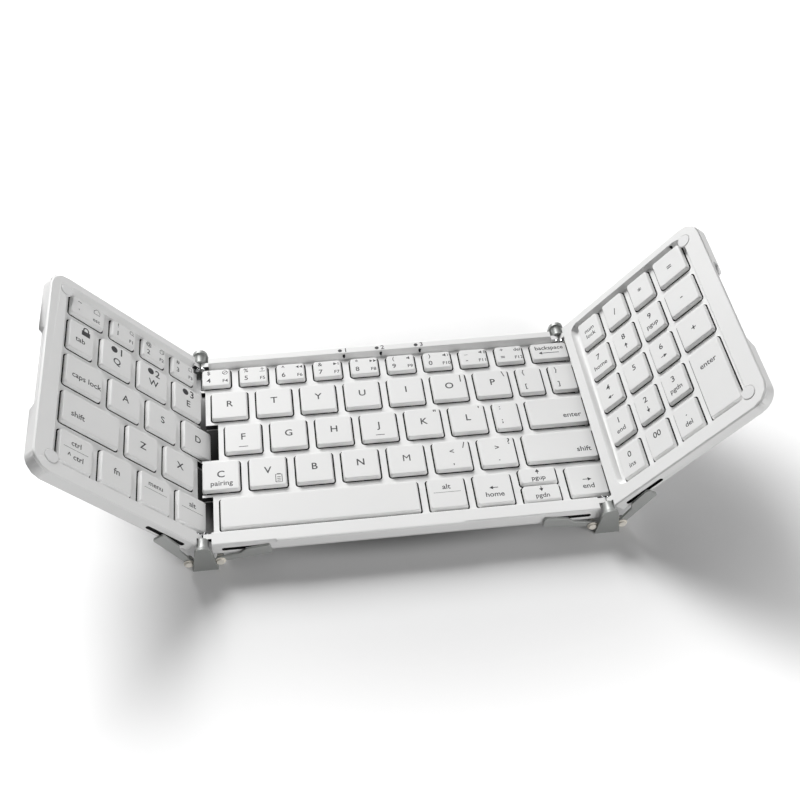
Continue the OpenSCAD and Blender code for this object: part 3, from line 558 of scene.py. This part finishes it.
# Second signs on the letter keys
cornerSign = {"dx": 5.0, "dy": 4.4, "size": 4.0}
upper, home, lower = (centreKeys[f"centre_{r}_letter_keys"] for r in ("upper", "home", "lower"))
for row, node, signs in (
    (upper, "centre_upper_letter_keys", {5: "|", 6: "\\"}),
    (home, "centre_home_letter_keys", {4: '"', 5: "'"}),
    (lower, "centre_lower_letter_keys", {5: "/", 6: "?"}),
):
    for i, sign in signs.items():
        x, y = middle(row[i])
        mark(node, word(sign, x + cornerSign["dx"], y + cornerSign["dy"], cornerSign["size"]))
for i, pair in {5: "<,", 6: ">."}.items():
    x, y = middle(lower[i])
    mark("centre_lower_letter_keys", word(pair[0], x, y + 1.7, 3.4), word(pair[1], x, y - 3.6, 3.6))
for i in (0, 3):
    x, y = middle(home[i])
    mark("centre_home_letter_keys", ribbon([[(-1.8, 0), (1.8, 0)]], x, y - 4.5))
x, y = middle(lower[0])
mark("centre_lower_letter_keys", word("pairing", x + 0.2, y - 3.9, legend["small"]))
x, y = middle(lower[1])
clipboard = [[(-1.1, -1.8), (-1.1, 1.5), (1.1, 1.5), (1.1, -1.8), (-1.1, -1.8)], [(-0.7, 1.8), (0.7, 1.8)]]
clipboard += [[(-0.6, h), (0.6, h)] for h in (-1.1, -0.35, 0.4)]
mark("centre_lower_letter_keys", ribbon(clipboard, x + 4.1, y - 3.6, 1.1))
for key, pair in zip(centreKeys["square_bracket_keys"], ("{[", "}]")):
    x, y = middle(key)
    mark("square_bracket_keys", word(pair[0], x - 2.4, y + 4.4, legend["small"]))
    mark("square_bracket_keys", word(pair[1], x - 2.4, y - 3.2, legend["small"]))
x, y = middle(centreKeys["semicolon_key"][0])
mark("semicolon_key", word(":", x - 2.3, y + 4.4, 3.4), word(";", x - 2.3, y - 2.6, 3.6))

# Number rows: the digit and its sign at the left, the function's name and picture at the right
numberCell = {
    "digitX": -3.0,
    "digitY": -1.5,
    "signY": 2.7,
    "nameX": 3.7,
    "nameY": -2.0,
    "pictureY": 2.6,
    "picture": 1.25,
}
back = [[(-0.2, -0.62), (-1.2, 0), (-0.2, 0.62)], [(1.0, -0.62), (0.0, 0), (1.0, 0.62)]]
forward = [[(-1.0, -0.62), (0.0, 0), (-1.0, 0.62)], [(0.2, -0.62), (1.2, 0), (0.2, 0.62)]]
play = [[(-0.9, -0.62), (0.3, 0), (-0.9, 0.62)], [(0.6, -0.55), (0.85, -0.55), (0.85, 0.55), (0.6, 0.55)]]
speaker = [[(-0.9, -0.25), (-0.5, -0.25), (0.1, -0.7), (0.1, 0.7), (-0.5, 0.25), (-0.9, 0.25)]]
waves = [arc(0.1, 0, r, -45, 45, 7) for r in (0.75, 1.1)]
ring = [arc(0, 0, 0.8, 0, 360, 20), [(-0.55, -0.55), (0.55, 0.55)]]
tray = [[(-0.9, -0.7), (0.9, -0.7)], [(0, -0.4), (0, 0.9)], [(-0.5, 0.3), (0, 0.9), (0.5, 0.3)]]


def numberKey(node, key, digit, sign, name, solids=(), lines=()):
    x, y = middle(key)
    c = numberCell
    mark(node, word(digit, x + c["digitX"], y + c["digitY"], 3.4))
    mark(node, word(sign, x + c["digitX"], y + c["signY"], 2.8))
    mark(node, word(name, x + c["nameX"], y + c["nameY"], legend["tiny"]))
    for outline in solids:
        mark(node, patch(outline, x + c["nameX"], y + c["pictureY"], c["picture"]))
    if lines:
        mark(node, ribbon(lines, x + c["nameX"], y + c["pictureY"], c["picture"], 0.24))


pictures = [((), ring), ((), tray), (back, ()), (play, ()), (forward, ()), (speaker, ()),
            (speaker, waves[:1]), (speaker, waves)]
row = centreKeys["centre_number_keys"]
for i, (digit, sign) in enumerate(zip("4567890-=", "$%^&*()_+")):
    solids, lines = pictures[i] if i < len(pictures) else ((), ())
    numberKey("centre_number_keys", row[i], digit, sign, f"F{4 + i}", solids, lines)
x, y = middle(row[8])
mark("centre_number_keys", word("del", x + 3.6, y + 2.5, 2.5))
square = [[(-0.7, -0.8), (-0.7, 0.5), (0.5, 0.5), (0.5, -0.8), (-0.7, -0.8)]]
twoSquares = square + [[(-0.3, 0.5), (-0.3, 0.9), (0.9, 0.9), (0.9, -0.4), (0.5, -0.4)]]
lens = [arc(-0.1, 0.15, 0.65, 0, 360, 18), [(0.35, -0.3), (0.8, -0.8)]]
leftPictures = (lens, twoSquares, square)
for key, digit, sign, lines in zip(leftKeys["left_number_keys"], "123", "!@#", leftPictures):
    numberKey("left_number_keys", key, digit, sign, "F" + digit, (), lines)
x, y = middle(leftKeys["backquote_key"][0])
house = [[(-0.9, -0.8), (-0.9, 0.2), (0, 1.0), (0.9, 0.2), (0.9, -0.8), (-0.9, -0.8)]]
mark("backquote_key", word("~", x - 4.2, y + 2.7, 3.0), word("`", x - 4.2, y - 2.2, 3.2))
mark("backquote_key", word("esc", x + 3.9, y - 2.0, 2.6), ribbon(house, x + 3.9, y + 2.6, 1.5, 0.24))
x, y = middle(centreKeys["backspace_key"][0])
mark("backspace_key", word("backspace", x, y + 1.9, 3.0), *arrow(x - 0.5, y - 0.9, 180, 8.6))

# Words on the wide keys
x, y = middle(leftKeys["tab_key"][0])
lockBody = [(-1.9, -1.9), (1.9, -1.9), (1.9, 0.4), (-1.9, 0.4)]
mark("tab_key", patch(lockBody, x + 1.6, y + 4.0), word("tab", x - 0.6, y - 1.4, 3.5))
mark("tab_key", ribbon([[(-1.1, 0.3), *arc(0, 1.1, 1.1, 180, 0, 12), (1.1, 0.3)]], x + 1.6, y + 4.0, 1, 0.55))
for key, letter, digit in zip(leftKeys["left_upper_letter_keys"], "QWE", "123"):
    x, y = middle(key)
    mark("left_upper_letter_keys", word(digit, x + 1.9, y + 4.2, 5.0))
    mark("left_upper_letter_keys", word(letter, x, y - 1.4, legend["letter"]))
    mark("left_upper_letter_keys", patch(arc(0, 0, 1.5, 0, 345, 24), x - 1.5, y + 4.3))
x, y = middle(leftKeys["caps_lock_key"][0])
mark("caps_lock_key", word("caps lock", x + 1.0, y - 1.6, 3.5))
mark("left_shift_key", word("shift", leftEdge + 4.3, rowY[1] + 5.8, 3.5, "LEFT"))
mods = leftKeys["left_modifier_keys"]
x, y = middle(mods[0])
mark("left_modifier_keys", *upperWord("ctrl", x, y, 3.2), word("^ ctrl", x, y - 2.9, 3.2))
x, y = middle(mods[1])
mark("left_modifier_keys", word("fn", x, y + 0.2, 3.8))
x, y = middle(mods[2])
mark("left_modifier_keys", *upperWord("menu", x, y, 3.1))
x, y = middle(mods[3])
mark("left_modifier_keys", *upperWord("alt", x, y, 3.3))
x, y = middle(centreKeys["right_alt_key"][0])
mark("right_alt_key", *upperWord("alt", x, y, 3.3))
wordInset = 2.9
mark("enter_key", word("enter", edge - wordInset, rowY[2] + 5.2, 3.4, "RIGHT"))
mark("right_shift_key", word("shift", edge - wordInset, rowY[1] + 5.2, 3.4, "RIGHT"))
for key, angle, name in zip(centreKeys["side_arrow_keys"], (180, 0), ("home", "end")):
    x, y = middle(key)
    mark("side_arrow_keys", *arrow(x, y + 0.4, angle), word(name, x, y - 2.8, legend["small"]))
for node, angle, name in (("page_up_key", 90, "pgup"), ("page_down_key", -90, "pgdn")):
    x, y = middle(centreKeys[node][0])
    mark(node, *arrow(x, y + 1.8, angle, 2.3), word(name, x, y - 1.3, 2.9))

# Number pad
padLine = {"up": 2.2, "down": -2.5, "digit": 3.7, "name": 3.0}
padNames = ["end", "", "pgdn", "", "", "", "home", "", "pgup"]
padArrows = {1: -90, 3: 180, 5: 0, 7: 90}
for i, key in enumerate(rightKeys["pad_digit_keys"]):
    x, y = middle(key)
    mark("pad_digit_keys", word(str(i + 1), x, y + padLine["up"], padLine["digit"]))
    if padNames[i]:
        mark("pad_digit_keys", word(padNames[i], x, y + padLine["down"], padLine["name"]))
    if i in padArrows:
        mark("pad_digit_keys", *arrow(x, y + padLine["down"], padArrows[i], 2.8))
for key, digit, name in zip(rightKeys["pad_zero_keys"], ("0", "00", "."), ("ins", "", "del")):
    x, y = middle(key)
    mark("pad_zero_keys", word(digit, x, y + padLine["up"], padLine["digit"]))
    if name:
        mark("pad_zero_keys", word(name, x, y + padLine["down"], padLine["name"]))
x, y = middle(rightKeys["pad_top_keys"][0])
mark("pad_top_keys", word("num", x, y + 1.2, 2.9), word("lock", x, y - 1.9, 2.9))
for key, sign in zip(rightKeys["pad_top_keys"][1:], "/*"):
    x, y = middle(key)
    mark("pad_top_keys", word(sign, x, y - 0.4, 4.2))
for key, sign in zip(rightKeys["pad_operator_keys"], "+-="):
    x, y = middle(key)
    mark("pad_operator_keys", word(sign, x, y - 0.4, 4.2))
x, y = middle(rightKeys["pad_enter_key"][0])
mark("pad_enter_key", word("enter", x, y + 7.0, 3.4))
print("legends drawn")


def keyPiece(node, cells, place):
    points, faces, kinds, count = [], [], [], 0
    for cell in cells:
        grid = capGrid(*cell)
        made = ringFaces(grid.shape[0], grid.shape[1], count)
        faces += made
        kinds += [0] * len(made)
        points.append(grid.reshape(-1, 3))
        count += grid.shape[0] * grid.shape[1]
    lift = np.array([0, 0, keys["top"] + legend["proud"]])
    for shapePoints, shapeFaces in marks.get(node, []):
        points.append(shapePoints + lift)
        faces += [[i + count for i in f] for f in shapeFaces]
        kinds += [1] * len(shapeFaces)
        count += len(shapePoints)
    looks = ("keyPlastic", "legendInk")
    return laid(node.replace("_key", "_cap"), np.concatenate(points), faces, kinds, place, looks)


capSharp = math.radians(50)


# A mesh from flat-panel points, carried to its panel; it is smooth up to the sharp angle
def laid(name, points, faces, kinds, place, looks):
    turn = np.array(place)
    mesh = bpy.data.meshes.new(name)
    mesh.from_pydata(points @ turn[:3, :3].T + turn[:3, 3], [], faces)
    for look in looks:
        mesh.materials.append(finish(look))
    mesh.polygons.foreach_set("material_index", np.array(kinds, np.int32))
    mesh.shade_smooth()
    mesh.set_sharp_from_angle(angle=capSharp)
    mesh.validate()
    piece = bpy.data.objects.new(name, mesh)
    bpy.context.scene.collection.objects.link(piece)
    return piece


for cellsOf, place in ((centreKeys, centrePlace), (leftKeys, leftPlace), (rightKeys, rightPlace)):
    for node, cells in cellsOf.items():
        piece = keyPiece(node, cells, place)
        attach(piece, nodes[node]["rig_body"])
        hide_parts(node)
print("key caps made")

# Painted shade in the wells: a thin near-black wall round the inside of each well, up to just below the deck,
# where the wells' plastic lies in shade
wellShade = {
    "out": 0.02,
    "thick": 0.13,
    "low": -1.45,
    "top": -0.08,
    "corner": 1.4,
    "steps": 6,
    "centreStart": -73.06,
}


# Each wall is four rings of one rounded outline: outer low, outer top, inner top, inner low
def wellShadePiece(name, cells, place, startX):
    turn = np.linspace(0, np.pi / 2, wellShade["steps"])
    angle = np.concatenate([turn + q * np.pi / 2 for q in range(4)])
    alongX = np.repeat([1, -1, -1, 1], wellShade["steps"])
    alongY = np.repeat([1, 1, -1, -1], wellShade["steps"])
    draw = np.array([wellShade["out"], wellShade["out"], wellShade["out"] + wellShade["thick"], wellShade["out"] + wellShade["thick"]])
    z = np.array([wellShade["low"], wellShade["top"], wellShade["top"], wellShade["low"]])
    r = wellShade["corner"] - draw
    level, around = np.meshgrid(np.arange(4), np.arange(angle.size), indexing="ij")
    nextLevel, nextAround = (level + 1) % 4, (around + 1) % angle.size
    n = angle.size
    quads = np.stack([level * n + around, level * n + nextAround,
                      nextLevel * n + nextAround, nextLevel * n + around], -1)
    points, faces = [], []
    for x0, x1, y0, y1 in cells:
        x0 = max(x0, startX)
        halfX, halfY = (x1 - x0) / 2 - draw, (y1 - y0) / 2 - draw
        px = (x0 + x1) / 2 + alongX * (halfX - r)[:, None] + r[:, None] * np.cos(angle)
        py = (y0 + y1) / 2 + alongY * (halfY - r)[:, None] + r[:, None] * np.sin(angle)
        faces += (quads.reshape(-1, 4) + len(points) * 4 * n).tolist()
        points.append(np.stack([px, py, np.broadcast_to(z[:, None], px.shape)], -1).reshape(-1, 3))
    return laid(name, np.concatenate(points), faces, [0] * len(faces), place, ("domeRubber",))


for name, body, cellsOf, place, startX in (
    ("centre_well_liner", "centre_panel", centreKeys, centrePlace, wellShade["centreStart"]),
    ("left_well_liner", "left_wing", leftKeys, leftPlace, -math.inf),
    ("right_well_liner", "right_wing", rightKeys, rightPlace, -math.inf),
):
    piece = wellShadePiece(name, [cell for cells in cellsOf.values() for cell in cells], place, startX)
    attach(piece, body)
print("well liners made")

# Painted shade in the grooves that the braces' ends run in: one near-black cup for each groove, drawn in the
# panel's wall as five rings of a stadium outline
groove = {
    "near": 7.6,
    "far": 23.5,
    "z": -0.8,
    "radius": 0.84,
    "thick": 0.05,
    "mouth": -6.98,
    "deep": -6.22,
    "steps": 9,
}


def grooveShadePiece(name, body, pinX, side, place):
    g = groove
    low, high = sorted((pinX + side * g["near"], pinX + side * g["far"]))
    turn = np.linspace(-np.pi / 2, np.pi / 2, g["steps"])
    inner = g["radius"] - g["thick"]
    radius = np.array([g["radius"], g["radius"], g["radius"], inner, inner])
    depth = np.array([g["deep"] + g["thick"], g["deep"], g["mouth"], g["mouth"], g["deep"]])
    angle = np.concatenate([turn, turn + np.pi])
    midX = np.repeat([high, low], g["steps"])
    n = angle.size
    px = midX + radius[:, None] * np.cos(angle)
    pz = g["z"] + radius[:, None] * np.sin(angle)
    py = np.broadcast_to(depth[:, None], px.shape)
    front = np.stack([px, py, pz], -1).reshape(-1, 3)
    back = front * (1, -1, 1) + (0, 2 * panel["middleY"], 0)
    level, around = np.meshgrid(np.arange(4), np.arange(n), indexing="ij")
    quads = np.stack([level * n + around, level * n + (around + 1) % n,
                      (level + 1) * n + (around + 1) % n, (level + 1) * n + around], -1).reshape(-1, 4)
    lids = [list(range(n))[::-1], [4 * n + i for i in range(n)]]
    faces = quads.tolist() + lids
    mirrored = [[i + len(front) for i in reversed(f)] for f in faces]
    faces += mirrored
    piece = laid(name, np.concatenate([front, back]), faces, [0] * len(faces), place, ("domeRubber",))
    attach(piece, body)


grooveShadePiece("left_wing_grooves", "left_wing", panel["leftMid"], -1, leftPlace)
grooveShadePiece("centre_left_grooves", "centre_panel", panel["leftMid"], 1, centrePlace)
grooveShadePiece("centre_right_grooves", "centre_panel", panel["rightMid"], -1, centrePlace)
grooveShadePiece("right_wing_grooves", "right_wing", panel["rightMid"], 1, rightPlace)
print("groove liners made")

# Numbers and discs beside the three status lights on the back rim
lights = {
    "x": (-13, 2.6, 19.2),
    "numberX": 0.9,
    "numberY": 86.1,
    "numberSize": 3.2,
    "dotX": 1.5,
    "dot": 0.85,
    "rim": 2.4,
}
rimPoints, rimFaces, count = [], [], 0
for i, x in enumerate(lights["x"]):
    dot = patch(arc(0, 0, lights["dot"], 0, 340, 18), x - lights["dotX"], lights["numberY"])
    number = word(str(i + 1), x + lights["numberX"], lights["numberY"], lights["numberSize"])
    for points, faces in (number, dot):
        rimPoints.append(points + (0, 0, lights["rim"] + legend["proud"]))
        rimFaces += [[v + count for v in f] for f in faces]
        count += len(points)
kinds = [0] * len(rimFaces)
numbers = laid("light_numbers", np.concatenate(rimPoints), rimFaces, kinds, centrePlace, ("legendInk",))
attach(numbers, "centre_panel")

# Floor, lamps and world: a white floor with a painted shadow, an ellipse of dark colour under the object, and
# painted light, a glow for camera and glossy rays that grows outside a second ellipse round it; one broad lamp
# behind on the left, a weaker one in front on the right, and a pale world
stage = {
    "floorSize": 6.0,
    "floorColour": 0.92,
    "floorLift": 0.38,
    "shadeHalf": (0.118, 0.05),
    "shadeColour": 0.04,
    "shadeFrom": 0.72,
    "shadeTo": 1.06,
    "liftNear": 0.40,
    "liftFar": 1.0,
    "liftMiddle": (0.02, -0.02),
    "liftHalf": (0.22, 0.14),
    "worldLight": 0.11,
    "lampPlace": (-0.60, 1.66, 1.16),
    "lampSize": 0.95,
    "lampPower": 60.0,
    "fillPlace": (0.95, -1.0, 0.5),
    "fillSize": 0.9,
    "fillPower": 10.0,
}


def makeFloor():
    half = stage["floorSize"] / 2
    mesh = bpy.data.meshes.new("floor")
    corners = [(-half, -half, 0), (half, -half, 0), (half, half, 0), (-half, half, 0)]
    mesh.from_pydata(corners, [], [(0, 1, 2, 3)])
    floor = bpy.data.objects.new("floor", mesh)
    bpy.context.scene.collection.objects.link(floor)
    look = bpy.data.materials.new("floorWhite")
    look.use_nodes = True
    tree = look.node_tree
    tree.nodes.clear()
    out = tree.nodes.new("ShaderNodeOutputMaterial")
    matte = tree.nodes.new("ShaderNodeBsdfDiffuse")
    shrink = tree.nodes.new("ShaderNodeVectorMath")
    shrink.operation = "DIVIDE"
    shrink.inputs[1].default_value = (*stage["shadeHalf"], 1)
    beside = tree.nodes.new("ShaderNodeVectorMath")
    beside.operation = "LENGTH"
    # painted shadow: the floor's colour falls to near black inside the ellipse under the object
    under = tree.nodes.new("ShaderNodeMapRange")
    under.interpolation_type = "SMOOTHSTEP"
    under.inputs["From Min"].default_value = stage["shadeFrom"]
    under.inputs["From Max"].default_value = stage["shadeTo"]
    under.inputs["To Min"].default_value = stage["shadeColour"]
    under.inputs["To Max"].default_value = stage["floorColour"]
    glow = tree.nodes.new("ShaderNodeEmission")
    rays = tree.nodes.new("ShaderNodeLightPath")
    seen = tree.nodes.new("ShaderNodeMath")
    seen.operation = "MAXIMUM"
    lift = tree.nodes.new("ShaderNodeMath")
    lift.operation = "MULTIPLY"
    place = tree.nodes.new("ShaderNodeTexCoord")
    away = tree.nodes.new("ShaderNodeVectorMath")
    away.operation = "MULTIPLY_ADD"
    (midX, midY), (halfX, halfY) = stage["liftMiddle"], stage["liftHalf"]
    away.inputs[1].default_value = (1 / halfX, 1 / halfY, 0)
    away.inputs[2].default_value = (-midX / halfX, -midY / halfY, 0)
    reach = tree.nodes.new("ShaderNodeVectorMath")
    reach.operation = "LENGTH"
    # painted light: the floor glows for camera and glossy rays, from nothing near the object up to the full
    # lift far from it
    grow = tree.nodes.new("ShaderNodeMapRange")
    grow.interpolation_type = "SMOOTHSTEP"
    grow.inputs["From Min"].default_value = stage["liftNear"]
    grow.inputs["From Max"].default_value = stage["liftFar"]
    grow.inputs["To Max"].default_value = stage["floorLift"]
    tree.links.new(place.outputs["Object"], away.inputs[0])
    tree.links.new(place.outputs["Object"], shrink.inputs[0])
    tree.links.new(shrink.outputs["Vector"], beside.inputs[0])
    tree.links.new(beside.outputs["Value"], under.inputs["Value"])
    tree.links.new(under.outputs["Result"], matte.inputs["Color"])
    tree.links.new(away.outputs["Vector"], reach.inputs[0])
    tree.links.new(reach.outputs["Value"], grow.inputs["Value"])
    tree.links.new(grow.outputs["Result"], lift.inputs[1])
    both = tree.nodes.new("ShaderNodeAddShader")
    tree.links.new(rays.outputs["Is Camera Ray"], seen.inputs[0])
    tree.links.new(rays.outputs["Is Glossy Ray"], seen.inputs[1])
    tree.links.new(seen.outputs[0], lift.inputs[0])
    tree.links.new(lift.outputs[0], glow.inputs["Strength"])
    tree.links.new(matte.outputs[0], both.inputs[0])
    tree.links.new(glow.outputs[0], both.inputs[1])
    tree.links.new(both.outputs[0], out.inputs["Surface"])
    mesh.materials.append(look)


def makeLamp(name, place, size, power):
    data = bpy.data.lights.new(name, "AREA")
    data.size = size
    data.energy = power
    lamp = bpy.data.objects.new(name, data)
    lamp.location = place
    lamp.rotation_mode = "QUATERNION"
    lamp.rotation_quaternion = (Vector((0, 0, 0.02)) - Vector(place)).to_track_quat("-Z", "Y")
    bpy.context.scene.collection.objects.link(lamp)


def makeWorld():
    world = bpy.data.worlds.new("studio")
    bpy.context.scene.world = world
    world.use_nodes = True
    tree = world.node_tree
    tree.nodes.clear()
    out = tree.nodes.new("ShaderNodeOutputWorld")
    glow = tree.nodes.new("ShaderNodeBackground")
    rays = tree.nodes.new("ShaderNodeLightPath")
    strength = tree.nodes.new("ShaderNodeMapRange")
    strength.inputs["To Min"].default_value = stage["worldLight"]
    strength.inputs["To Max"].default_value = 1.0
    tree.links.new(rays.outputs["Is Camera Ray"], strength.inputs["Value"])
    tree.links.new(strength.outputs["Result"], glow.inputs["Strength"])
    tree.links.new(glow.outputs[0], out.inputs["Surface"])


makeFloor()
makeLamp("keyLamp", stage["lampPlace"], stage["lampSize"], stage["lampPower"])
makeLamp("fillLamp", stage["fillPlace"], stage["fillSize"], stage["fillPower"])
makeWorld()
bpy.context.scene.view_settings.view_transform = "Standard"
print("stage lit")
